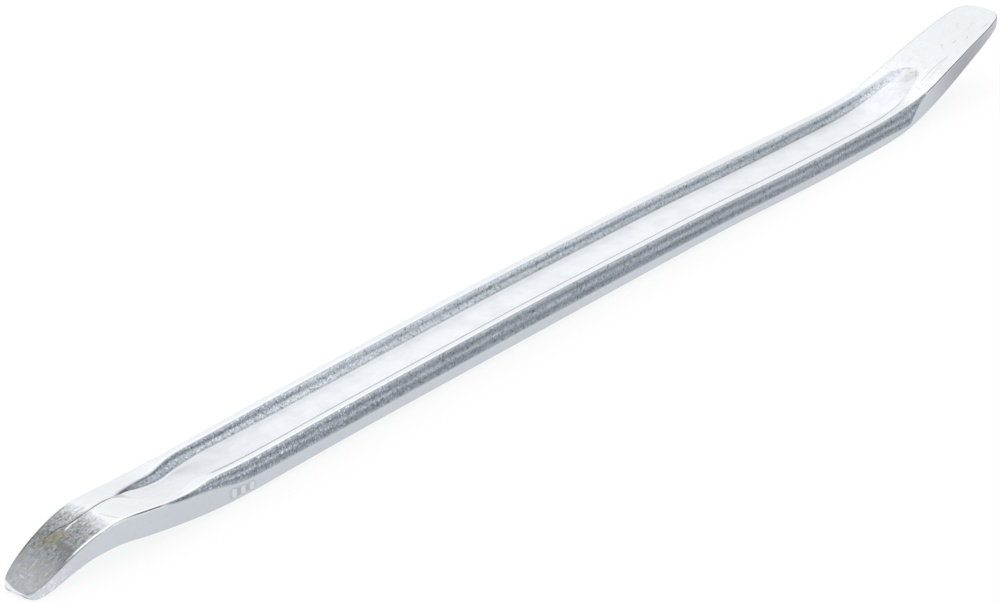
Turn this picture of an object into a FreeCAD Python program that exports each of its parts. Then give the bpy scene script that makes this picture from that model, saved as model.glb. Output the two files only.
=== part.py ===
import FreeCAD, Part
import os

# A tyre-lever pry bar drop-forged from one bar of steel: a hooked tip, a ribbed shank with a long
# recess in its top, and a spoon tip. Millimetres. Stations along the bar are measured from the
# hooked tip, and heights from the bench that the bar lies on, touching it with the hooked tip and
# with the heel under the spoon. The finished shape is moved so that its origin is at the bottom
# centre of its bounding box, with +X towards the spoon.
LENGTH = 300.0
TIP_HEIGHT = 15.2           # height of the spoon tip above the bench
HUMP_HEIGHT = 8.02          # top of the gooseneck behind the hooked tip
CROWN_HEIGHT = 7.76         # highest stretch of the two ribs, near the middle of the shank
ARCH = 1.5                  # gap between the bench and the flat stretch of the underside
FLAT_START = 90.0           # the underside is dead flat from here
FLAT_END = 190.0            # to here
HEEL_STATION = 248.0        # where the underside touches the bench below the spoon
RECESS_DEPTH = 2.2
RECESS_WALL_RUN = 0.5      # how far a recess wall leans over its depth
RECESS_FOOT = 0.8           # size of the sloping foot between a recess wall and the floor
SIDE_MARK_STATION = 47.7    # middle of the raised forging mark on one side
SIDE_MARK_PITCH = 2.2
SIDE_MARK_BARS = 3
SIDE_MARK_SIZE = (1.1, 0.25, 2.0)
REACH = 30.0                # how far cutting solids pass beyond the bar

# Top line of the bar seen from the side: (station, height).
TOP_LINE = [
    (0.0, 0.85), (0.5, 1.3), (2.8, 2.72), (7.0, 4.86), (11.5, 6.65), (15.7, 7.66),
    (19.7, HUMP_HEIGHT), (25.4, 7.58), (33.9, 6.93), (40.6, 7.14), (50.2, 7.11), (68.5, 7.39), (101.6, 7.68),
    (124.9, CROWN_HEIGHT), (162.7, 7.42), (189.4, 7.03), (211.3, 6.35), (233.2, 5.86), (248.2, 5.7),
    (256.1, 6.06), (262.1, 6.65), (267.2, 7.58), (275.6, 9.72), (284.6, 11.95), (294.4, 14.0),
    (LENGTH, TIP_HEIGHT),
]

# Underside of the hooked end, from the tip to the flat stretch, and of the spoon end, from there.
HOOK_UNDERSIDE = [
    (0.0, 0.85), (0.3, 0.3), (1.3, 0.0), (3.7, 0.7), (7.9, 2.15), (12.0, 3.1), (17.9, 3.55),
    (25.5, 2.83), (34.5, 1.88), (41.9, 1.22), (49.4, 1.03), (64.8, 1.28), (FLAT_START, ARCH),
]
SPOON_UNDERSIDE = [
    (FLAT_END, ARCH), (202.8, 1.22), (224.7, 0.48), (HEEL_STATION, 0.0), (255.8, 0.47),
    (263.7, 1.9), (271.8, 4.1), (285.2, 8.5), (294.7, 11.75), (298.5, 13.05), (299.7, 14.1),
    (LENGTH, TIP_HEIGHT),
]

# Half of the plan outline: (station, half width). The other half is its mirror image.
HALF_PLAN = [
    (0.0, 0.0), (0.35, 2.6), (1.2, 3.6), (2.8, 4.26), (5.9, 4.78), (12.5, 5.36), (21.3, 6.01),
    (28.9, 6.72), (35.9, 7.1), (47.8, 7.25), (74.8, 7.38), (119.6, 7.52), (179.4, 7.75),
    (212.3, 8.0), (233.2, 7.86), (251.2, 7.6), (265.1, 7.55), (275.6, 7.2), (284.6, 6.73),
    (291.7, 6.27), (296.4, 5.65), (298.9, 4.5), (299.8, 2.4), (LENGTH, 0.0),
]

# The forged slope outside each rib: (station, rib half width, side half width, rib height, height
# where the slope meets the ground side face). It starts as a point and ends in a steep arc.
OUTER_SLOPE = [
    (27.9, 6.58, 6.64, 7.33, 7.26), (32.9, 6.98, 7.04, 6.98, 6.65), (37.7, 6.72, 7.13, 7.03, 5.95),
    (40.6, 6.33, 7.17, 7.14, 5.5), (47.8, 6.64, 7.25, 7.11, 4.1), (61.8, 6.78, 7.33, 7.28, 4.05),
    (101.6, 6.96, 7.47, 7.68, 4.0), (136.5, 7.1, 7.58, 7.71, 3.9), (179.4, 7.24, 7.75, 7.2, 3.6),
    (211.3, 7.62, 8.0, 6.35, 3.0), (233.2, 7.48, 7.86, 5.86, 2.45), (251.2, 7.09, 7.6, 5.78, 2.25),
    (259.7, 7.15, 7.57, 6.38, 1.95), (261.1, 7.28, 7.57, 6.53, 3.5), (262.9, 7.44, 7.56, 6.75, 5.2),
    (265.2, 7.52, 7.55, 7.15, 6.7), (266.7, 7.51, 7.53, 7.45, 7.3),
]

# The long recess in the top: (station, half width at the top, height of the top, depth). It opens
# as a point behind the hooked tip, a little to the far side, and closes in a rounded end on the
# spoon.
RECESS_POINT_SHIFT = 1.5
RECESS_STRAIGHT_FROM = 34.6
TOP_RECESS = [
    (25.7, 0.2, 7.55, 0.02), (34.6, 2.75, 6.93, 1.1), (38.4, 3.75, 7.06, 1.7),
    (42.3, 4.7, 7.13, RECESS_DEPTH), (50.2, 5.15, 7.11, RECESS_DEPTH),
    (68.5, 5.25, 7.39, RECESS_DEPTH), (124.9, 5.5, CROWN_HEIGHT, RECESS_DEPTH),
    (189.4, 5.65, 7.03, RECESS_DEPTH), (211.3, 5.65, 6.35, RECESS_DEPTH),
    (233.2, 5.55, 5.86, RECESS_DEPTH), (248.2, 5.35, 5.7, RECESS_DEPTH),
    (256.1, 5.05, 6.06, 1.95), (262.1, 4.45, 6.65, 1.5), (267.2, 3.65, 7.58, 1.0),
    (271.1, 2.6, 8.55, 0.62), (272.3, 1.9, 8.86, 0.5), (273.0, 0.4, 9.04, 0.1),
]


def smooth_edge(points):
    """A smooth curve through (station, height) points, in the plane of the side view."""
    spline = Part.BSplineCurve()
    spline.interpolate([FreeCAD.Vector(x, 0, z) for x, z in points])
    return spline.toShape()


def side_slab():
    """The bar's outline from the side, as a slab wider than the bar."""
    flat = Part.makeLine(FreeCAD.Vector(FLAT_START, 0, ARCH), FreeCAD.Vector(FLAT_END, 0, ARCH))
    edges = [smooth_edge(TOP_LINE), smooth_edge(HOOK_UNDERSIDE), flat, smooth_edge(SPOON_UNDERSIDE)]
    outline = Part.Wire(Part.sortEdges(edges)[0])
    slab = Part.Face(outline).extrude(FreeCAD.Vector(0, 2 * REACH, 0))
    slab.translate(FreeCAD.Vector(0, -REACH, 0))
    return slab


def plan_slab():
    """The bar's outline from above, as a slab deeper than the bar."""
    near_side = [FreeCAD.Vector(x, -half, -REACH) for x, half in HALF_PLAN]
    far_side = [FreeCAD.Vector(x, half, -REACH) for x, half in reversed(HALF_PLAN[1:-1])]
    outline = Part.BSplineCurve()
    outline.interpolate(near_side + far_side, PeriodicFlag=True)
    return Part.Face(Part.Wire(outline.toShape())).extrude(FreeCAD.Vector(0, 0, 3 * REACH))


def loft_sections(sections):
    """A closed solid through polygons that stand across the bar, each given as (station, corners)."""
    wires = []
    for station, corners in sections:
        points = [FreeCAD.Vector(station, y, z) for y, z in corners]
        wires.append(Part.makePolygon(points + points[:1]))
    return Part.makeLoft(wires, True, True)


def slope_cutter(side):
    """The wedge outside one forged slope, with its long face on the slope. side is -1 or 1."""
    overrun = 0.3           # share of the slope by which the wedge passes its upper and lower edge
    sections = []
    for station, rib_half, side_half, rib_z, side_z in OUTER_SLOPE:
        run = side_half - rib_half
        drop = rib_z - side_z
        upper = (side * (rib_half - overrun * run), rib_z + overrun * drop)
        lower = (side * (side_half + overrun * run), side_z - overrun * drop)
        corner = (side * (side_half + overrun * run + 1), upper[1])
        sections.append((station, [upper, lower, corner]))
    return loft_sections(sections)


def recess_cutter():
    """The trough between the two ribs: leaning walls that meet the floor over a sloping foot."""
    clear = 2.0             # how far the trough passes out of the top of the bar
    sections = []
    for station, top_half, top_z, depth in TOP_RECESS:
        share = depth / RECESS_DEPTH
        run = min(RECESS_WALL_RUN * share, 0.5 * top_half)
        foot = min(RECESS_FOOT * share, 0.4 * top_half)
        floor_z = top_z - depth
        wall_half = top_half - run * (depth - foot) / depth
        mouth_half = top_half + run * clear / depth
        right = [(wall_half - foot, floor_z), (wall_half, floor_z + foot), (mouth_half, top_z + clear)]
        left = [(-y, z) for y, z in reversed(right)]
        shift = RECESS_POINT_SHIFT if station < RECESS_STRAIGHT_FROM else 0.0
        sections.append((station, [(y + shift, z) for y, z in right + left]))
    return loft_sections(sections)


def side_mark():
    """Short raised bars on one side face: a plain forging mark."""
    length, proud, height = SIDE_MARK_SIZE
    root = 1.0              # how deep each bar is rooted in the bar's side
    side_half = 7.25
    middle_z = 2.75
    bars = []
    for index in range(SIDE_MARK_BARS):
        middle = SIDE_MARK_STATION + (index - (SIDE_MARK_BARS - 1) / 2) * SIDE_MARK_PITCH
        corner = FreeCAD.Vector(middle - length / 2, -side_half - proud, middle_z - height / 2)
        bars.append(Part.makeBox(length, root + proud, height, corner))
    return bars


def forged_lever():
    """The whole bar: its outline, less the two forged slopes and the recess, with its mark."""
    bar = side_slab().common(plan_slab())
    for side in (-1, 1):
        bar = bar.cut(slope_cutter(side))
    bar = bar.cut(recess_cutter())
    return bar.fuse(side_mark())


os.makedirs("parts", exist_ok=True)
lever = forged_lever()
lowest = lever.optimalBoundingBox(True, False).ZMin
lever.translate(FreeCAD.Vector(-LENGTH / 2, 0, -lowest))
lever.exportStep("parts/forged_lever.step")
print("solids", len(lever.Solids), "valid", lever.isValid(), "volume", round(lever.Volume, 1))
print(lever.optimalBoundingBox(True, False))
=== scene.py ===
import bmesh
import bpy
from mathutils import Matrix, Vector


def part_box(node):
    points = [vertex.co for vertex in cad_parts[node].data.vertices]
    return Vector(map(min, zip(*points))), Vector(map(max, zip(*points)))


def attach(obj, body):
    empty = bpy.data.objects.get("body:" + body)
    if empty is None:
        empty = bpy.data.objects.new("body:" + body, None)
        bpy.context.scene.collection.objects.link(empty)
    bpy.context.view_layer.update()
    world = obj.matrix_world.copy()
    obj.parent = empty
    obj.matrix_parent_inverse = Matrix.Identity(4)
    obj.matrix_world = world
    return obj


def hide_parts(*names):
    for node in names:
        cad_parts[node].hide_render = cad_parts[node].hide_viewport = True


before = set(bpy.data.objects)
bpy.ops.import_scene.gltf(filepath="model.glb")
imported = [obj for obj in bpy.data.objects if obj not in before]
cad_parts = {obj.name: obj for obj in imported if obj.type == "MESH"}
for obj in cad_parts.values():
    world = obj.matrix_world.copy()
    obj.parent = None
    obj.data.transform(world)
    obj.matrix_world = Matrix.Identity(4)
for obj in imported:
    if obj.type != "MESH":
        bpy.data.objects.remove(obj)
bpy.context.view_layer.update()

# ---- The forging's outlines ---------------------------------------------------------------------
# The lever is one steel bar, drop-forged between two dies: a hooked tip, a gooseneck, a shank with
# two ribs and a long recess between them, a heel and a spoon. Outlines are in millimetres:
# stations along the bar from the hooked tip, heights above the bench that it lies on.
MM = 0.001
low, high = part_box("forged_lever")
HOOK_X = low[0]
LENGTH = round((high[0] - low[0]) / MM, 1)
ARCH = 1.25                 # gap between the bench and the flat stretch of the underside

TOP_LINE = [
    (0.0, 0.9), (0.5, 1.34), (2.8, 2.76), (7.0, 4.9), (11.5, 6.7), (15.7, 7.7), (19.7, 8.06),
    (25.4, 7.62), (33.9, 6.97), (40.6, 7.18), (50.2, 7.15), (68.5, 7.43), (101.6, 7.72),
    (124.9, 7.8), (162.7, 7.46), (189.4, 7.07), (211.3, 6.39), (233.2, 5.9), (248.2, 5.74),
    (256.1, 6.1), (262.1, 6.7), (267.2, 7.62), (275.6, 9.76), (284.6, 11.99), (294.4, 14.04),
    (LENGTH, 15.2),
]
UNDERSIDE = [
    (0.0, 0.9), (0.3, 0.3), (1.3, 0.02), (3.7, 0.5), (7.9, 1.9), (12.0, 2.9), (17.9, 3.3),
    (25.5, 2.5), (34.5, 1.6), (41.9, 1.0), (49.4, 0.8), (64.8, 1.05), (90.0, ARCH),
    (190.0, ARCH), (202.8, 1.0), (224.7, 0.3), (248.0, 0.02), (255.8, 0.3), (263.7, 1.65),
    (271.8, 3.85), (285.2, 8.25), (294.7, 11.5), (298.5, 12.9), (299.7, 14.0), (LENGTH, 15.05),
]
HALF_PLAN = [
    (0.0, 0.4), (0.08, 1.5), (0.35, 2.6), (1.2, 3.6), (2.8, 4.26), (5.9, 4.78), (12.5, 5.36),
    (21.3, 6.01), (28.9, 6.72), (35.9, 7.1), (47.8, 7.25), (74.8, 7.38), (119.6, 7.52),
    (179.4, 7.75), (212.3, 8.0), (233.2, 7.86), (251.2, 7.6), (265.1, 7.55), (275.6, 7.2),
    (284.6, 6.73), (291.7, 6.27), (296.4, 5.65), (298.9, 4.5), (299.8, 2.4), (LENGTH, 0.4),
]


def smooth_through(points):
    """A function of the station whose graph runs smoothly through these points."""
    stations = [x for x, _ in points]
    values = [y for _, y in points]
    rises = [(values[i + 1] - values[i]) / (stations[i + 1] - stations[i])
             for i in range(len(points) - 1)]
    slopes = [rises[0]]
    for i in range(1, len(rises)):
        before = stations[i] - stations[i - 1]
        after = stations[i + 1] - stations[i]
        slope = (rises[i - 1] * after + rises[i] * before) / (before + after)
        steepest = 3 * min(abs(rises[i - 1]), abs(rises[i])) if rises[i - 1] * rises[i] > 0 else 0
        slopes.append(max(-steepest, min(steepest, slope)))
    slopes.append(rises[-1])

    def at(station):
        station = min(max(station, stations[0]), stations[-1])
        i = 0
        while i < len(rises) - 1 and station > stations[i + 1]:
            i += 1
        span = stations[i + 1] - stations[i]
        t = (station - stations[i]) / span
        lift = (1 - t) ** 2 * t * slopes[i] - (1 - t) * t ** 2 * slopes[i + 1]
        ease = t * t * (3 - 2 * t)
        return values[i] * (1 - ease) + values[i + 1] * ease + span * lift

    return at


def straight_through(points):
    """A function of the station that goes straight from each of these points to the next."""
    def at(station):
        if station <= points[0][0]:
            return points[0][1]
        for (x0, y0), (x1, y1) in zip(points, points[1:]):
            if station <= x1:
                return y0 + (y1 - y0) * (station - x0) / (x1 - x0)
        return points[-1][1]

    return at


top_line = smooth_through(TOP_LINE)
underside = smooth_through(UNDERSIDE)
half_plan = smooth_through(HALF_PLAN)

# The forged slopes outside the ribs: how far a rib's outer edge stands in from the side face, and
# how far below the rib's top the slope ends. They start as a point behind the gooseneck and run
# out in a steep arc below the spoon. On both tips all that is left is a small dressed chamfer.
slope_inset = smooth_through([
    (0.0, 0.22), (5.0, 0.26), (9.0, 0.4), (15.0, 0.4), (18.5, 0.3), (28.0, 0.28), (32.9, 0.22),
    (37.7, 0.35), (41.0, 0.72), (47.8, 0.42), (61.8, 0.37), (101.6, 0.3), (179.4, 0.28),
    (211.3, 0.24), (251.2, 0.36), (259.7, 0.36), (262.9, 0.28), (266.7, 0.28), (LENGTH, 0.2),
])
slope_drop = smooth_through([
    (0.0, 0.22), (5.0, 0.26), (15.0, 0.3), (18.5, 0.32), (26.0, 0.32), (28.0, 0.36), (32.9, 0.66),
    (37.7, 1.2), (41.0, 1.85), (47.8, 3.2), (61.8, 3.6), (101.6, 4.05), (136.5, 4.15),
    (179.4, 4.0), (211.3, 3.7), (233.2, 3.7), (251.2, 3.8), (259.4, 4.5), (260.2, 4.3),
    (261.4, 2.95), (262.9, 1.65), (264.2, 0.92), (265.6, 0.5), (266.7, 0.33), (269.0, 0.3),
    (LENGTH, 0.22),
])

# The recess between the ribs: its far and near lip, measured across the bar, and its depth. In
# front of it a fine forging seam wanders over the gooseneck towards the hooked tip.
SEAM = [(8.6, 2.7), (10.4, 2.2), (12.4, 1.85), (13.6, 1.1), (14.4, 0.95), (16.6, 0.85),
        (19.2, 0.95)]
SEAM_HALF_WIDTH = 0.12
FULL_DEPTH = 2.2
far_lip = smooth_through([(0.0, 0.1)] + [(x, y + SEAM_HALF_WIDTH) for x, y in SEAM] + [
    (23.6, 1.66), (25.7, 1.75), (29.6, 2.6), (33.7, 3.15), (35.4, 3.1), (38.4, 3.8), (41.8, 4.65),
    (45.1, 5.0), (50.2, 5.1), (68.5, 5.15), (124.9, 5.3), (189.4, 5.4), (211.3, 5.4),
    (233.2, 5.4), (248.2, 5.3), (256.1, 5.1), (262.1, 4.6), (266.5, 3.85), (270.0, 3.1),
    (271.6, 2.7), (272.2, 2.3), (272.6, 1.5), (273.0, 0.3), (LENGTH, 0.3),
])
near_lip = smooth_through([(0.0, -0.1)] + [(x, y - SEAM_HALF_WIDTH) for x, y in SEAM] + [
    (23.6, 1.34), (25.7, 0.3), (27.5, -2.6), (30.0, -4.6), (33.5, -5.2), (36.5, -4.9),
    (39.0, -4.3), (42.3, -4.85), (50.2, -5.15), (68.5, -5.25), (124.9, -5.5), (189.4, -5.65),
    (211.3, -5.65), (233.2, -5.55), (248.2, -5.4), (256.1, -5.0), (259.0, -4.65), (262.1, -4.2),
    (265.0, -3.75), (267.2, -3.4), (269.5, -2.85), (271.3, -2.3), (272.0, -1.8), (272.5, -1.1),
    (273.0, -0.3), (LENGTH, -0.3),
])
recess_depth = straight_through([
    (8.6, 0.0), (10.4, 0.06), (13.0, 0.08), (25.0, 0.08), (26.5, 0.2), (30.0, 0.45), (34.6, 0.8),
    (38.4, 1.1), (44.0, 1.5), (52.0, 1.85), (64.0, 2.1), (80.0, FULL_DEPTH), (248.0, FULL_DEPTH),
    (256.1, 1.95), (262.1, 1.5), (267.2, 1.0), (271.1, 0.62), (272.3, 0.5), (272.6, 0.3),
    (273.0, 0.0),
])
WALL_RUN = 0.5              # how far a full recess wall leans
WALL_FOOT = 0.8             # size of the sloping foot below it
WIDE_FOOT = 1.2             # how much wider the far wall's foot is near the recess's start
LEAST_RUN = 0.1             # the least that a wall leans, and the least that its foot is wide
FLOOR_SHIFT = 0.2           # share of the width by which the floor's middle is shifted there
EDGE_SOFTNESS = 0.17        # reach of the small rounding on the forging's edges
SIDE_LEAN = 0.04            # the side faces lean in by this towards the underside
CREST = 0.08                # a low swelling halfway down each forged slope
RIB_SUPPORT = 0.4           # how far inside a rib's outer edge a point holds its top flat
TIPS = (5.0, 290.0)         # below the first station and beyond the second is a tip
GRAINED_DROPS = (0.35, 0.55)    # how high a slope is where its grain starts, and where it is full

# Where the bar is thin or the recess narrow, nothing takes more than its share of what is there.
WALL_SHARE = 0.35           # a wall, or its foot, of half the recess's width
WIDE_FOOT_SHARE = 0.7       # the far wall's wide foot, of the same
FOOT_RISE_SHARE = 0.4       # a foot's height, of its wall's
INSET_SHARE = 0.2           # a slope's inset, of half the bar's width
DROP_SHARE = 0.24           # a tip's chamfer, of the bar's thickness
SOFTNESS_SHARE = 0.18       # the rounding on the edges, of the bar's thickness
ARM_SHARE = 0.3             # the same, of the distance to the next edge

# How bright the forged grain is along a recess wall: at its top, at its bottom, and on the sloping
# foot below it. This brightness is partly rubbing and partly painted light and shade for the way
# each part of the wall faces.
wall_top_tone = straight_through([
    (26.0, 0.14), (31.0, 0.24), (38.0, 0.24), (44.0, 0.55), (80.0, 0.78), (160.0, 0.88),
    (237.0, 0.8), (256.0, 0.62), (262.0, 0.75), (266.0, 0.9), (270.0, 0.95),
])
wall_tone = straight_through([
    (26.0, 0.1), (31.0, 0.36), (44.0, 0.3), (62.0, 0.34), (80.0, 0.58), (160.0, 0.42),
    (237.0, 0.42), (256.0, 0.48), (262.0, 0.72), (268.0, 0.95),
])
foot_tone = straight_through([
    (26.0, 0.1), (34.0, 0.45), (50.0, 0.62), (80.0, 0.72), (160.0, 0.58), (237.0, 0.5),
    (256.0, 0.66), (262.0, 0.85), (268.0, 0.95),
])

# Stretches of the bar, each from one station to another, over which something sets in or ends.
RIM_STARTS = (8.0, 10.0)            # the dressed rim on both sides of the hooked tip
HOOK_ENDS = (16.5, 18.5)            # the hooked tip's finish
SEAM_FAINTER = (23.0, 25.0)         # the seam's line gets a little fainter
NEAR_SEAM_ENDS = (24.3, 25.3)       # the line on the seam's near side
RECESS_OPENS = (25.0, 27.0)         # the floor's middle moves towards the far wall here,
SHIFT_ENDS = (37.0, 60.0)           # and back to the middle here
NEAR_WALL_GOES = (23.5, 25.0)       # the near side of the recess has no wall at its start:
NEAR_WALL_COMES = (37.0, 70.0)      # it grows out of the floor along the shank
NEAR_WALL_ENDS = (257.0, 267.0)     # and runs out again on the spoon
WIDE_FOOT_STARTS = (27.0, 33.0)
WIDE_FOOT_ENDS = (40.0, 52.0)
FLOOR_STARTS = (36.0, 50.0)         # the duller finish of the recess floor
NEAR_GRAIN_STARTS = (42.0, 48.0)    # the forged grain on the near wall
NEAR_GRAIN_ENDS = (256.0, 262.0)
FAR_GRAIN_ENDS = (271.0, 272.0)     # the forged grain on the far wall
# The stretches below set in and end fine dark lines of painted shade.
FOOT_LINE_FAINTER = (256.0, 264.0)
NEAR_LIP_LINE_STARTS = (38.0, 43.0)
NEAR_LIP_LINE_FAINTER = (250.0, 258.0)
NEAR_LIP_LINE_ENDS = (258.0, 265.0)
FAR_LIP_LINE_STARTS = (254.0, 260.0)
FAR_LIP_LINE_ENDS = (270.0, 272.0)
RECESS_CLOSES = (270.5, 272.0)      # a dark line rounds the end of the recess
POINT_LINE_ENDS = (34.0, 42.0)      # the dark edge on the near slope's point
SPOON_STARTS = (262.0, 265.0)       # the dark edge along the spoon's near side

# How strong the fine dark lines are, from 0 to 1: painted shade along the seam's groove, the
# recess's lips, feet and end, the ribs' edges and the nose's underside. A line of 0.6 can hardly be
# seen.
SEAM_LINE = 0.96
FOOT_LINE = 0.87
WALL_TOP_LINE = 0.7
LIP_LINE = 0.97
FAR_LIP_LINE = 0.92
CLOSING_LINE = 0.97
NOSE_CONTACT_SHADOW = 0.97
SPOON_LINE = 0.98
SLOPE_POINT_LINE = 0.88
BELOW_RIM_LINE = 0.93


def grows(value, start, end):
    """0 up to start, 1 from end on, and smooth between."""
    t = min(max((value - start) / (end - start), 0.0), 1.0)
    return t * t * (3 - 2 * t)


def lasts(value, sets_in, dies_away):
    """1 between these two stretches, 0 outside them, and smooth along each."""
    return grows(value, *sets_in) * (1 - grows(value, *dies_away))


# ---- The forging: cage --------------------------------------------------------------------------
# One closed skin. Sections stand across the bar at each station and are joined into a cage of
# four-sided faces, closed by a small fan at each tip. Every point carries how the steel was left
# there and what is painted on it: its forged grain, how bright that grain is (partly from rubbing,
# partly painted light and shade), and whether it is ground, is floor, lies on a fine dark line of
# painted shade, or is part of a dressed rim.
FINISHES = ("grain", "rubbed", "ground", "floor", "line", "rim")


def finish(**shares):
    """How a point is left: these shares, and nothing of every finish that isn't named."""
    return [shares.get(name, 0.0) for name in FINISHES]


def soften(corners, reach):
    """The path through these corners, with two points in place of each but the first and last.

    A corner is (outward, height, finish before it, finish after it)."""
    path = []
    for i in range(1, len(corners) - 1):
        here = Vector(corners[i][:2])
        for k, other in ((2, corners[i - 1]), (3, corners[i + 1])):
            arm = Vector(other[:2]) - here
            step = min(reach, ARM_SHARE * arm.length)
            path.append((*(here + arm.normalized() * step), corners[i][k]))
    return path


def between(start, end, share, left_as):
    """The point this share of the way from start to end."""
    return (*(start[k] + (end[k] - start[k]) * share for k in (0, 1)), left_as)


def floor_middle(station):
    """Where a section starts: in the middle of the recess floor, or near the recess's start nearer
    the far wall."""
    far = far_lip(station)
    near = near_lip(station)
    return (far + near) / 2 + FLOOR_SHIFT * (far - near) * lasts(station, RECESS_OPENS, SHIFT_ENDS)


def recess_finishes(station, near, depth):
    """How one side of the recess is left, from its floor out to the edge of its lip, with painted
    light and shade on its grain and fine dark lines of painted shade at the seam, the wall's foot
    and top, the lip and the recess's end.
    """
    seam = 0.0
    # The seam's shallow groove gets a dark line of painted shade.
    if station < LENGTH / 2:
        seam = SEAM_LINE - 0.12 * grows(station, *SEAM_FAINTER)
        seam *= lasts(depth, (0.0, 0.06), (0.2, 0.35))
    floor = finish(floor=grows(station, *FLOOR_STARTS) * grows(depth, 0.1, 0.6), line=seam)
    in_recess = grows(depth, 0.1, 0.25)
    if near:
        in_recess *= lasts(station, NEAR_GRAIN_STARTS, NEAR_GRAIN_ENDS)
        seam *= 1 - grows(station, *NEAR_SEAM_ENDS)
        lip_line = lasts(station, NEAR_LIP_LINE_STARTS, NEAR_LIP_LINE_ENDS)
        lip_line *= 1 - 0.2 * grows(station, *NEAR_LIP_LINE_FAINTER)
        wall_top_line = WALL_TOP_LINE * lip_line
    else:
        in_recess *= 1 - grows(station, *FAR_GRAIN_ENDS)
        lip_line = FAR_LIP_LINE * lasts(station, FAR_LIP_LINE_STARTS, FAR_LIP_LINE_ENDS)
        wall_top_line = 0.0
    foot_line = (FOOT_LINE - 0.3 * grows(station, *FOOT_LINE_FAINTER)) * in_recess
    closing_line = CLOSING_LINE * grows(station, *RECESS_CLOSES) * grows(depth, 0.1, 0.3)
    foot = finish(grain=in_recess, rubbed=foot_tone(station), line=max(seam, foot_line))
    foot_top = finish(grain=in_recess, rubbed=foot_tone(station), line=seam)
    wall_foot = finish(grain=in_recess, rubbed=wall_tone(station), line=seam)
    wall_top = finish(grain=in_recess, rubbed=wall_top_tone(station),
                      line=max(seam, wall_top_line, closing_line))
    lip_edge = finish(line=LIP_LINE * lip_line) if depth > 0.15 else finish()
    return floor, foot, foot_top, wall_foot, wall_top, lip_edge


def slope_finishes(station, near, sloped):
    """How the outside is left: a rib's outer edge, four places down the slope, and its end.

    The hooked tip has a dressed rim, the gooseneck a thin dark edge of painted shade, the shank the
    forged slope with painted light and shade down it, and the spoon a thin dark edge of painted
    shade again."""
    on_hook = 1 - grows(station, *HOOK_ENDS)
    if near:
        on_spoon = grows(station, *SPOON_STARTS)
        edge_line = grows(station, 15.5, 17.5) * (0.8 + 0.19 * grows(station, 18, 24))
        edge_line = max(edge_line * (1 - on_spoon), SPOON_LINE * on_spoon)
        inner_line = 0.98 * lasts(station, (3, 6.6), (10, 15))
        kept = max(1 - sloped, SLOPE_POINT_LINE * (1 - grows(station, *POINT_LINE_ENDS)))
        below_rim = BELOW_RIM_LINE * lasts(station, (7, 9), (17, 18))
    else:
        edge_line = 0.95 * grows(station, 2, 6) * on_hook + 0.75 * (1 - on_hook)
        inner_line = 0.9 * grows(station, 4, 6) * on_hook
        kept = 1 - sloped
        below_rim = 0.0
    rim = on_hook * grows(station, *RIM_STARTS)
    # Down the slope the grain goes light, dark, light, dark. This is partly rubbing, and partly
    # painted light and shade that stand in for the slope's curve.
    down_the_slope = [finish(grain=sloped, rubbed=rubbed, line=edge_line * kept, rim=rim)
                      for rubbed in (0.55, 0.28, 0.48, 0.28)]
    slope_end = finish(grain=sloped, rubbed=0.38, line=max(edge_line * kept, below_rim))
    return finish(line=inner_line), down_the_slope, slope_end


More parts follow.
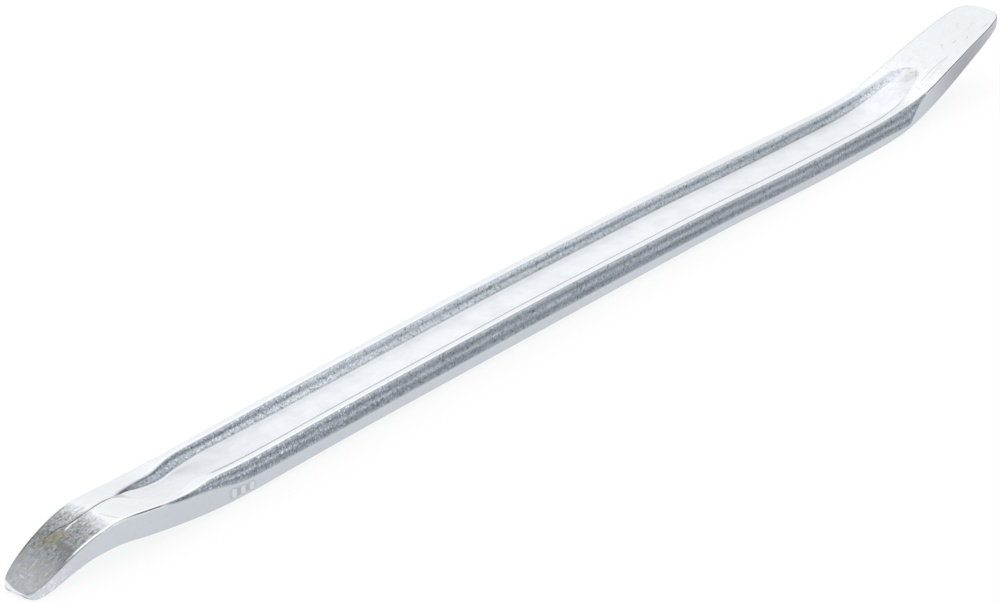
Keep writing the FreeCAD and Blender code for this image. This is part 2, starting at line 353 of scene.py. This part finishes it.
def half_section(station, side):
    """One side's points, from the middle of the recess floor round to that of the underside."""
    top = top_line(station)
    base = underside(station)
    half = half_plan(station)
    depth = recess_depth(station)
    near = side < 0
    wall = depth
    if near:
        wall *= 1 - lasts(station, NEAR_WALL_GOES, NEAR_WALL_COMES)
        wall *= 1 - grows(station, *NEAR_WALL_ENDS)
    middle = floor_middle(station) * side
    lip = -near_lip(station) if near else far_lip(station)
    open_half = lip - middle
    most_run = WALL_SHARE * open_half
    run = min(max(WALL_RUN * (wall / FULL_DEPTH), LEAST_RUN), most_run)
    foot_run = min(max(WALL_FOOT * (wall / FULL_DEPTH), LEAST_RUN), most_run)
    if not near:
        foot_run += WIDE_FOOT * lasts(station, WIDE_FOOT_STARTS, WIDE_FOOT_ENDS)
        foot_run = min(foot_run, WIDE_FOOT_SHARE * open_half)
    foot_inset = 0.65 * run
    foot_rise = min(WALL_FOOT, FOOT_RISE_SHARE * wall)
    inset = min(slope_inset(station), INSET_SHARE * half)
    drop = slope_drop(station)
    if station < TIPS[0] or station > TIPS[1]:
        drop = min(drop, DROP_SHARE * (top - base))
    sloped = grows(drop, *GRAINED_DROPS) * grows(station, *HOOK_ENDS)

    floor, foot, foot_top, wall_foot, wall_top, lip_edge = recess_finishes(station, near, depth)
    rib_edge, down_the_slope, slope_end = slope_finishes(station, near, sloped)
    polish = finish()
    ground = finish(ground=1.0)
    # A painted contact shadow: a dark line along the underside's edges at the very nose, where it
    # rests on the bench.
    keel = finish(ground=1.0, line=NOSE_CONTACT_SHADOW * (1 - grows(station, 0.3, 1.0)))

    start = (middle, top - depth)
    end = (0.0, base)
    corners = [
        start,
        (lip - run - foot_run, top - wall, floor, foot),
        (lip - foot_inset, top - wall + foot_rise, foot_top, wall_foot),
        (lip, top, wall_top, lip_edge),
        (half - inset, top, rib_edge, down_the_slope[0]),
        (half, top - drop, slope_end, ground),
        (half - SIDE_LEAN, base, keel, keel),
        end,
    ]
    softened = soften(corners, min(EDGE_SOFTNESS, SOFTNESS_SHARE * (top - base)))
    recess_side = softened[:6]
    rib_top = softened[5:7]
    slope = softened[7:9]
    side_face = softened[9:11]
    underside_edge = softened[10:12]

    points = [between(start, softened[0], 0.85, floor)]
    points += recess_side
    rib_support = max(0.6, 1 - RIB_SUPPORT / (rib_top[1][0] - rib_top[0][0]))
    points.append(between(*rib_top, rib_support, polish))
    points += softened[6:8]
    for share, swell, left_as in zip((0.29, 0.52, 0.75), (0.5, 1.0, 0.5), down_the_slope[1:]):
        outward, height, _ = between(*slope, share, left_as)
        points.append((outward + CREST * swell * sloped, height, left_as))
    points += softened[8:10]
    points.append(between(*side_face, 0.2, ground))
    points.append(between(*side_face, 0.8, ground))
    points += underside_edge
    points.append(between(underside_edge[1], end, 0.45, ground))
    return [(side * outward, height, left_as) for outward, height, left_as in points]


def section(station):
    """The whole closed section: recess floor, near side, underside, far side."""
    near = half_section(station, -1)
    far = half_section(station, 1)
    floor_point = (floor_middle(station), top_line(station) - recess_depth(station), near[0][2])
    keel_middle = (0.0, underside(station), finish(ground=1.0))
    return [floor_point] + near + [keel_middle] + far[::-1]


def spread(start, stop, pitch):
    """Stations from start up to, but not at, stop, about this pitch apart."""
    count = max(1, round((stop - start) / pitch))
    return [start + (stop - start) * i / count for i in range(count)]


# Three plain raised bars stand in a row on the near side face, behind the gooseneck. Their tops are
# painted lighter as a highlight, and a dark line of painted shade runs round their feet.
BAR_MIDDLE = 47.7
BAR_PITCH = 2.2
BAR_LENGTH = 1.1
BAR_PROUD = 0.25
BAR_BEVEL = 0.12
BAR_CREASE = 0.9
bar_ends = [BAR_MIDDLE + i * BAR_PITCH + end * BAR_LENGTH / 2
            for i in (-1, 0, 1) for end in (-1, 1)]

# The stations stand closer together where the outline turns fast.
stations = [0.08, 0.35, 0.75, 1.2, 1.9]
stations += spread(2.8, 10.0, 1.2) + spread(10.0, 30.0, 1.0) + spread(30.0, 44.0, 1.4)
stations += bar_ends
stations += spread(52.0, 256.0, 4.6) + spread(256.0, 259.5, 1.2) + spread(259.5, 267.0, 0.6)
stations += spread(267.0, 271.1, 1.0) + spread(271.1, 273.2, 0.3) + spread(273.2, 296.4, 2.9)
stations += [296.4, 297.8, 298.9, 299.5, 299.8, 299.95]

skin = bmesh.new()
finish_of = {}
rings = []
for station in stations:
    ring = []
    for y, z, left_as in section(station):
        vertex = skin.verts.new((HOOK_X + station * MM, y * MM, z * MM))
        finish_of[vertex] = left_as
        ring.append(vertex)
    rings.append(ring)
around = len(rings[0])
rows = []
for ring, following in zip(rings, rings[1:]):
    row = []
    for i in range(around):
        j = (i + 1) % around
        row.append(skin.faces.new((ring[i], ring[j], following[j], following[i])))
    rows.append(row)
for ring, station in ((rings[0], 0.0), (rings[-1], LENGTH)):
    middle_z = (top_line(station) + underside(station)) / 2
    tip = skin.verts.new((HOOK_X + station * MM, 0.0, middle_z * MM))
    finish_of[tip] = finish()
    for i in range(around):
        skin.faces.new((ring[i], ring[(i + 1) % around], tip))

SIDE_FACE = 16              # the place in a section where the near side face's broad stretch starts
bars = [rows[stations.index(start)][SIDE_FACE] for start in bar_ends[::2]]
bmesh.ops.recalc_face_normals(skin, faces=skin.faces)
bmesh.ops.inset_individual(skin, faces=bars, thickness=BAR_BEVEL * MM,
                           depth=BAR_PROUD * MM)
crease = skin.edges.layers.float.new("crease_edge")
# Painted highlight on each bar's top, and painted shade on the points round its foot.
for bar in bars:
    for corner in bar.verts:
        finish_of[corner] = finish(ground=0.75)
        for edge in corner.link_edges:
            edge[crease] = BAR_CREASE
            foot = edge.other_vert(corner)
            if foot not in bar.verts:
                finish_of[foot] = finish(ground=1.0, line=0.8)

skin.verts.index_update()
order = sorted(skin.verts, key=lambda vertex: vertex.index)
finishes = [finish_of.get(vertex, finish(ground=1.0)) for vertex in order]
lever_mesh = bpy.data.meshes.new("forged_skin")
skin.to_mesh(lever_mesh)
skin.free()
for k, name in enumerate(FINISHES):
    layer = lever_mesh.attributes.new(name, "FLOAT", "POINT")
    layer.data.foreach_set("value", [left_as[k] for left_as in finishes])
for polygon in lever_mesh.polygons:
    polygon.use_smooth = True
lever = bpy.data.objects.new("forged_skin", lever_mesh)
bpy.context.scene.collection.objects.link(lever)

# The cage is rounded, and its grained faces get the low relief that the dies' scale left.
ROUNDING_LEVELS = 2
SCALE_SIZE = 1.6
SCALE_RELIEF = 0.1
grain_group = lever.vertex_groups.new(name="grain")
for i, left_as in enumerate(finishes):
    grained = left_as[FINISHES.index("grain")]
    if grained > 0:
        grain_group.add([i], grained, "REPLACE")
rounding = lever.modifiers.new("rounding", "SUBSURF")
rounding.levels = ROUNDING_LEVELS
rounding.render_levels = ROUNDING_LEVELS
scale_marks = bpy.data.textures.new("scale_marks", "CLOUDS")
scale_marks.noise_scale = SCALE_SIZE * MM
scale_marks.noise_depth = 2
forged_face = lever.modifiers.new("forged_face", "DISPLACE")
forged_face.texture = scale_marks
forged_face.texture_coords = "LOCAL"
forged_face.vertex_group = "grain"
forged_face.strength = SCALE_RELIEF * MM
forged_face.mid_level = 0.5

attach(lever, "root")
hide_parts("forged_lever")


# ---- The forging: plated steel ------------------------------------------------------------------
# Bright plating over steel that the dies left grainy on the slopes, and that was ground on the
# sides and polished on top. It thins and dulls on the hooked tip, which was dressed by hand.
class Wire:
    """One socket of a shader; arithmetic on it adds Math nodes."""

    def __init__(self, tree, socket):
        self.tree = tree
        self.socket = socket

    def math(self, operation, *others):
        inputs = {i: other for i, other in enumerate((self, *others))}
        return add_node(self.tree, "ShaderNodeMath", {"operation": operation}, inputs)

    def __add__(self, other):
        return self.math("ADD", other)

    def __sub__(self, other):
        return self.math("SUBTRACT", other)

    def __mul__(self, other):
        return self.math("MULTIPLY", other)

    def __pow__(self, other):
        return self.math("POWER", other)

    def __rsub__(self, other):
        return self.math("MULTIPLY", -1.0).math("ADD", other)

    __radd__ = __add__
    __rmul__ = __mul__


def add_node(tree, kind, settings, inputs, output=0):
    """Adds a node: its settings first, then a value or a Wire for each named or numbered socket."""
    node = tree.nodes.new(kind)
    for name, value in settings.items():
        if name == "stops":
            ramp = node.color_ramp
            while len(ramp.elements) < len(value):
                ramp.elements.new(0.5)
            for element, (position, colour) in zip(ramp.elements, value):
                element.position = position
                element.color = colour
        else:
            setattr(node, name, value)
    for name, value in inputs.items():
        if isinstance(value, Wire):
            tree.links.new(value.socket, node.inputs[name])
        else:
            node.inputs[name].default_value = value
    return Wire(tree, node.outputs[output]) if node.outputs else None


# The colour sockets of a Mix node have the same names as its others, so they go by number.
MIX_FACTOR = 0
MIX_FIRST = 6
MIX_SECOND = 7
MIX_RESULT = 2


def blend_colour(tree, factor, first, second):
    """The colour this share of the way from first to second."""
    inputs = {MIX_FACTOR: factor, MIX_FIRST: first, MIX_SECOND: second}
    return add_node(tree, "ShaderNodeMix", {"data_type": "RGBA"}, inputs, MIX_RESULT)


def ramp_up(wire, start, end):
    """0 below start, 1 above end, and smooth between."""
    settings = {"interpolation_type": "SMOOTHSTEP"}
    inputs = {"Value": wire, "From Min": start, "From Max": end, "To Min": 0.0, "To Max": 1.0}
    return add_node(wire.tree, "ShaderNodeMapRange", settings, inputs)


steel = bpy.data.materials.new("plated_steel")
steel.use_nodes = True
tree = steel.node_tree
tree.nodes.clear()

place = add_node(tree, "ShaderNodeTexCoord", {}, {}, "Object")


def stretched(scale):
    """The place on the piece, stretched by a scale for each direction."""
    return add_node(tree, "ShaderNodeMapping", {}, {"Vector": place, "Scale": scale})


def noise(scale, detail=2.0, roughness=0.5, stretch=(1, 1, 1)):
    """Smooth noise from 0 to 1, with this many bumps to the metre."""
    inputs = {"Vector": stretched(stretch), "Scale": scale,
              "Detail": detail, "Roughness": roughness}
    return add_node(tree, "ShaderNodeTexNoise", {}, inputs, "Fac")


def finish_mask(name):
    """How much of this finish a place on the skin has."""
    return add_node(tree, "ShaderNodeAttribute", {"attribute_name": name}, {}, "Fac")


grain = finish_mask("grain")
rubbed = finish_mask("rubbed")
ground = finish_mask("ground")
floor = finish_mask("floor")
line = finish_mask("line")
rim = finish_mask("rim")

split = tree.nodes.new("ShaderNodeSeparateXYZ")
tree.links.new(place.socket, split.inputs[0])
station_mm = (Wire(tree, split.outputs["X"]) - HOOK_X) * (1 / MM)
across_mm = Wire(tree, split.outputs["Y"]) * (1 / MM)


def stroke(start, end, width):
    """1 on a line from start to end, each (station, across) in mm, fading over its width."""
    run = (end[0] - start[0], end[1] - start[1])
    length_squared = run[0] ** 2 + run[1] ** 2
    from_x = station_mm - start[0]
    from_y = across_mm - start[1]
    share = ((from_x * run[0] + from_y * run[1]) * (1 / length_squared)).math("MINIMUM", 1.0)
    share = share.math("MAXIMUM", 0.0)
    off_x = from_x - share * run[0]
    off_y = from_y - share * run[1]
    return 1 - ramp_up((off_x * off_x + off_y * off_y).math("SQRT"), 0.2 * width, width)


def strokes(runs, width):
    """The same for several lines at once, each (start, end)."""
    together = stroke(*runs[0], width)
    for run in runs[1:]:
        together = together.math("MAXIMUM", stroke(*run, width))
    return together


def towards(tone, target, share):
    """The tone moved this share of the way to a target."""
    return tone + (target - tone) * share


# Scales for noise that is drawn out along the bar: the smaller the first number, the longer.
LONG_STREAKS = (0.03, 1.0, 1.0)
GRAIN_STREAKS = (0.07, 1.0, 1.0)
BRUSH_STREAKS = (0.12, 1.0, 1.0)
SHORT_STREAKS = (0.6, 1.0, 1.0)
MOTTLE_STREAKS = (0.7, 1.0, 1.0)

# Noise that several finishes share.
clouds = noise(70.0, 3.0, 0.55)
fine = noise(1500.0, 3.0, 0.6)
coarse = noise(520.0, 4.0, 0.65)
streaks = noise(900.0, 4.0, 0.6, LONG_STREAKS)
top_side = 1 - ground

# How bright each finish is: polished on top, darker along the spoon, duller on the recess floor,
# and ground on the sides. There the nose has bright specks, and painted shade makes the spoon's
# sides darkest halfway along.
POLISHED_TONE = 0.935
GROUND_TONE = 0.66
SHADE_LINE_DARKNESS = 0.8
LINE_SHARPNESS = 6          # a high power, so only the strongest part of a line shows
tone = POLISHED_TONE + (clouds - 0.5) * 0.06 + (streaks - 0.5) * 0.06 + (coarse - 0.5) * 0.07
tone = tone - ramp_up(station_mm, 262.0, 276.0) * 0.15
smudges = ramp_up(noise(230.0, 4.0, 0.6), 0.4, 0.7)
tone = tone + floor * (0.01 - smudges * 0.06)
side_tone = GROUND_TONE + (clouds - 0.5) * 0.06 + (fine - 0.5) * 0.07
nose = 1 - ramp_up(station_mm, 2.0, 9.0)
nose_specks = ramp_up(fine, 0.5, 0.62) * ramp_up(station_mm, 0.8, 2.0)
side_tone = side_tone + nose * (0.06 + nose_specks * 0.24)
# Painted shade: the sides darken halfway along the spoon and lighten again towards its end.
side_tone = side_tone - ramp_up(station_mm, 262.0, 282.0) * 0.24
side_tone = side_tone + ramp_up(station_mm, 284.0, 299.0) * 0.16
tone = towards(tone, side_tone, ground)

# The forged grain: long dull streaks, crossed by dark pits and by bright flecks. The flecks are
# densest on the first part of the shank and at the spoon.
grain_streaks = noise(1500.0, 3.0, 0.6, GRAIN_STREAKS)
flecks = ramp_up(noise(2200.0, 3.0, 0.75), 0.52, 0.66)
pits = ramp_up(noise(1700.0, 4.0, 0.7), 0.5, 0.32)
flecked = 0.35 + (1 - ramp_up(station_mm, 62.0, 110.0)) * 0.65
flecked = flecked + ramp_up(station_mm, 250.0, 268.0) * 0.5
# The grain's brightness is partly rubbing and partly painted light and shade, as set on each point.
grain_tone = rubbed * (0.5 + grain_streaks * 0.7 + fine * 0.3)
grain_tone = grain_tone + flecks * flecked * (0.06 + rubbed * 0.85) - pits * rubbed * 0.6
tone = towards(tone, grain_tone, grain)
# The fine dark lines are painted shade, darkening the colour itself.
painted_shade_line = line ** LINE_SHARPNESS
tone = tone * (1 - painted_shade_line * SHADE_LINE_DARKNESS)

# The hooked tip's top was dressed with a stone, and the plating is thin there: its grey goes by
# how far along the tip a place is.
TIP_LENGTH = 20.0
TIP_GREYS = [(0.04, 0.48), (0.2, 0.39), (0.34, 0.33), (0.48, 0.25), (0.6, 0.30), (0.72, 0.38),
             (0.82, 0.53), (0.9, 0.76), (0.98, 0.92)]
wander = station_mm + (noise(330.0, 5.0, 0.75) - 0.5) * 4.0 + ramp_up(across_mm, 0.0, -4.5) * 0.9
grey_of_place = add_node(tree, "ShaderNodeValToRGB", {"stops": [
    (place_on_tip, (grey, grey, grey, 1)) for place_on_tip, grey in TIP_GREYS
]}, {"Fac": wander * (1 / TIP_LENGTH)})
coarse_part = ramp_up(station_mm, 5.0, 8.5) * (1 - ramp_up(wander, 15.5, 18.5))
mottle = (noise(2000.0, 5.0, 0.8, MOTTLE_STREAKS) - 0.5) * (0.5 + coarse_part * 3.4)
brushing = (noise(2000.0, 3.0, 0.7, BRUSH_STREAKS) - 0.5) * 0.9
dressed = (1 - ramp_up(wander, 18.0, 19.5)) * top_side * (1 - rim)
from_middle = across_mm + 1.2
dressed = dressed * ramp_up(station_mm - from_middle * from_middle * 0.04, 0.1, 0.3)
dressed_tone = grey_of_place * (1 + mottle + brushing)

# It has one dark patch, a few nicks, and a painted highlight, a glint, beside the seam. Each mark
# goes from one (station, across) to another.
PATCH_TONE = 0.2
PATCH_WIDTH = 1.1
NICKS = [((3.0, 2.3), (3.15, 0.6)), ((3.05, 0.4), (3.2, -1.1)), ((2.1, 0.9), (2.8, 0.4)),
         ((2.6, 1.7), (2.3, 0.2)), ((3.4, 1.5), (3.8, 1.2)), ((3.7, 0.45), (6.3, 0.4)),
         ((3.7, -3.2), (5.1, -3.25)), ((3.0, -3.7), (4.3, -3.9))]
NICK_WIDTH = 0.17
GLINTS = [((12.7, 0.45), (14.2, 0.6)), ((14.4, 0.5), (15.4, 0.55))]
GLINT_TONE = 0.95
GLINT_WIDTH = 0.24
dark_patch = stroke((9.8, -0.8), (9.3, -3.7), PATCH_WIDTH)
dressed_tone = towards(dressed_tone, PATCH_TONE, dark_patch * 0.65)
nicks = strokes(NICKS, NICK_WIDTH)
dressed_tone = dressed_tone + nicks * ramp_up(fine, 0.35, 0.6) * 0.16
# The glint is a painted highlight in the colour itself.
glint = strokes(GLINTS, GLINT_WIDTH)
dressed_tone = towards(dressed_tone, GLINT_TONE, glint * 0.9)
tone = towards(tone, dressed_tone * (1 - painted_shade_line * 0.65), dressed)

# Grinding lines and small nicks on the spoon, and the grey pocket where the recess ends.
GRINDING = [((269.0, -4.0), (273.4, -3.7)), ((273.4, -3.7), (279.6, -4.0)),
            ((266.8, -4.2), (266.2, -5.7)), ((281.8, -1.1), (283.0, -0.3)),
            ((284.6, -2.3), (285.6, -2.3)), ((287.1, -4.1), (288.0, -3.7)),
            ((293.0, -4.8), (294.5, -4.8)),
            ((271.7, 0.5), (272.1, -0.7)), ((272.1, -0.7), (270.3, -1.9))]
GRINDING_WIDTH = 0.2
FAINT_GRINDING = [((268.0, -4.8), (276.0, -4.8)), ((273.5, -4.5), (279.0, -4.3)),
                  ((290.0, 0.2), (292.0, 1.3)), ((290.8, -2.1), (293.5, -1.7))]
FAINT_WIDTH = 0.3
POCKET_WIDTH = 1.9
grinding = strokes(GRINDING, GRINDING_WIDTH)
faint_grinding = strokes(FAINT_GRINDING, FAINT_WIDTH)
near_recess_end = ramp_up(station_mm, 257.0, 262.0) * (1 - ramp_up(station_mm, 272.0, 281.0))
rough_patches = (noise(1200.0, 5.0, 0.75, SHORT_STREAKS) - 0.5) * near_recess_end
pocket = stroke((268.6, 0.2), (270.8, -0.6), POCKET_WIDTH) * ramp_up(coarse, 0.3, 0.55)
worn = grinding * 0.2 + faint_grinding * 0.06 - rough_patches * 0.4 + pocket * 0.16
tone = tone - worn * top_side * (1 - grain)

# The plating is a little blue, most of all where the grain dulls it.
POLISHED_TINT = (0.94, 0.965, 1.0, 1)
GROUND_TINT = (0.885, 0.93, 1.0, 1)
DULL_GRAIN_TINT = (0.78, 0.87, 1.0, 1)
BRIGHT_GRAIN_TINT = (0.87, 0.93, 1.0, 1)
BLUER_CAST = (0.9, 0.945, 1.0, 1)
GREENER_CAST = (0.95, 0.98, 0.99, 1)
BLACK = (0, 0, 0, 1)
tint = blend_colour(tree, ground, POLISHED_TINT, GROUND_TINT)
grain_tint = blend_colour(tree, ramp_up(rubbed, 0.3, 0.7), DULL_GRAIN_TINT, BRIGHT_GRAIN_TINT)
tint = blend_colour(tree, grain * (1 - flecks * 0.5), tint, grain_tint)
cast_patches = ramp_up(noise(700.0, 3.0, 0.6), 0.4, 0.6)
tint = blend_colour(tree, dressed, tint, blend_colour(tree, cast_patches, BLUER_CAST, GREENER_CAST))
surface = blend_colour(tree, tone, BLACK, tint)

# Small stains on the hooked tip, and a thin rusty line across the gooseneck.
STAINS = [((8.9, 2.3), (9.4, 1.5)), ((9.8, 1.2), (11.4, 0.0))]
STAIN_COLOUR = (0.27, 0.255, 0.12, 1)
STAIN_WIDTH = 1.9
BROWN_COLOUR = (0.30, 0.27, 0.22, 1)
BROWN_WIDTH = 1.2
RUST = [((18.9, -1.5), (19.1, -3.2)), ((19.1, -3.2), (19.7, -4.8))]
RUST_COLOUR = (0.66, 0.60, 0.58, 1)
RUST_WIDTH = 0.3
stain = strokes(STAINS, STAIN_WIDTH)
stain = stain * ramp_up(noise(1500.0, 5.0, 0.85), 0.4, 0.6) * dressed
surface = blend_colour(tree, stain * 0.75, surface, STAIN_COLOUR)
brown_patch = stroke((5.0, 3.9), (5.8, 3.5), BROWN_WIDTH) * dressed
surface = blend_colour(tree, brown_patch * 0.35, surface, BROWN_COLOUR)
rust_line = strokes(RUST, RUST_WIDTH)
surface = blend_colour(tree, rust_line * 0.5 * top_side, surface, RUST_COLOUR)

# The polish is smoothest, and the grain and the dressed tip are roughest.
POLISHED_ROUGHNESS = 0.26
POLISHED_METALLIC = 0.9
roughness = POLISHED_ROUGHNESS + (streaks - 0.5) * 0.12 + floor * 0.16 + ground * 0.12
roughness = roughness + grain * 0.22 + dressed * 0.18
metallic = POLISHED_METALLIC - floor * 0.35 - grain * 0.2
height = fine * grain * 0.6 + streaks * (1 - grain) * 0.05 + fine * dressed * 0.25
BUMP_STRENGTH = 0.6
BUMP_DISTANCE = 0.12 * MM
bump = add_node(tree, "ShaderNodeBump", {}, {
    "Strength": BUMP_STRENGTH, "Distance": BUMP_DISTANCE, "Height": height})
shader = add_node(tree, "ShaderNodeBsdfPrincipled", {}, {
    "Base Color": surface, "Metallic": metallic, "Roughness": roughness, "Normal": bump})
add_node(tree, "ShaderNodeOutputMaterial", {}, {"Surface": shader})
lever_mesh.materials.append(steel)


# ---- The bench: floor, light and camera ---------------------------------------------------------
# A plain pale sheet under the lever, with an even overcast light from a white tent around it.
FLOOR_REACH = 3.0
PAPER_GREY = 0.17
PAPER_GLOW = 0.81
TENT_LIGHT = 0.93
floor_mesh = bpy.data.meshes.new("floor")
corners = [(-FLOOR_REACH, -FLOOR_REACH, 0), (FLOOR_REACH, -FLOOR_REACH, 0),
           (FLOOR_REACH, FLOOR_REACH, 0), (-FLOOR_REACH, FLOOR_REACH, 0)]
floor_mesh.from_pydata(corners, [], [(0, 1, 2, 3)])
floor_sheet = bpy.data.objects.new("floor", floor_mesh)
bpy.context.scene.collection.objects.link(floor_sheet)
paper = bpy.data.materials.new("pale_paper")
paper.use_nodes = True
paper_shader = paper.node_tree.nodes["Principled BSDF"]
paper_shader.inputs["Base Color"].default_value = (PAPER_GREY, PAPER_GREY, PAPER_GREY, 1)
paper_shader.inputs["Roughness"].default_value = 0.9
paper_shader.inputs["Emission Color"].default_value = (1.0, 1.0, 1.0, 1)
paper_shader.inputs["Emission Strength"].default_value = PAPER_GLOW
floor_mesh.materials.append(paper)

world = bpy.data.worlds.new("tent")
bpy.context.scene.world = world
world.use_nodes = True
tent = world.node_tree.nodes["Background"]
tent.inputs["Color"].default_value = (1.0, 1.0, 1.0, 1)
tent.inputs["Strength"].default_value = TENT_LIGHT


def soft_lamp(name, location, size, power):
    """A large square lamp aimed at the middle of the lever."""
    lamp = bpy.data.lights.new(name, "AREA")
    lamp.shape = "SQUARE"
    lamp.size = size
    lamp.energy = power
    holder = bpy.data.objects.new(name, lamp)
    holder.location = location
    holder.rotation_euler = (-Vector(location)).to_track_quat("-Z", "Y").to_euler()
    bpy.context.scene.collection.objects.link(holder)


soft_lamp("tent_top", location=(0.1, 0.3, 1.3), size=2.0, power=4.0)

# The camera stands beyond the hooked tip on the near side, a little above the lever.
CAMERA_PLACE = (-0.4900, -0.3774, 0.2913)
CAMERA_FORWARD = (0.7033, 0.5674, -0.4284)
CAMERA_RIGHT = (0.6264, -0.7795, -0.0041)
camera_data = bpy.data.cameras.new("camera")
camera_data.sensor_width = 36.0
camera_data.lens = 126.0
camera = bpy.data.objects.new("camera", camera_data)
forward = Vector(CAMERA_FORWARD).normalized()
right = Vector(CAMERA_RIGHT)
right = (right - forward * right.dot(forward)).normalized()
up = right.cross(forward)
pose = Matrix((right, up, -forward)).transposed().to_4x4()
pose.translation = Vector(CAMERA_PLACE)
camera.matrix_world = pose
bpy.context.scene.collection.objects.link(camera)
bpy.context.scene.camera = camera
bpy.context.scene.view_settings.view_transform = "Standard"
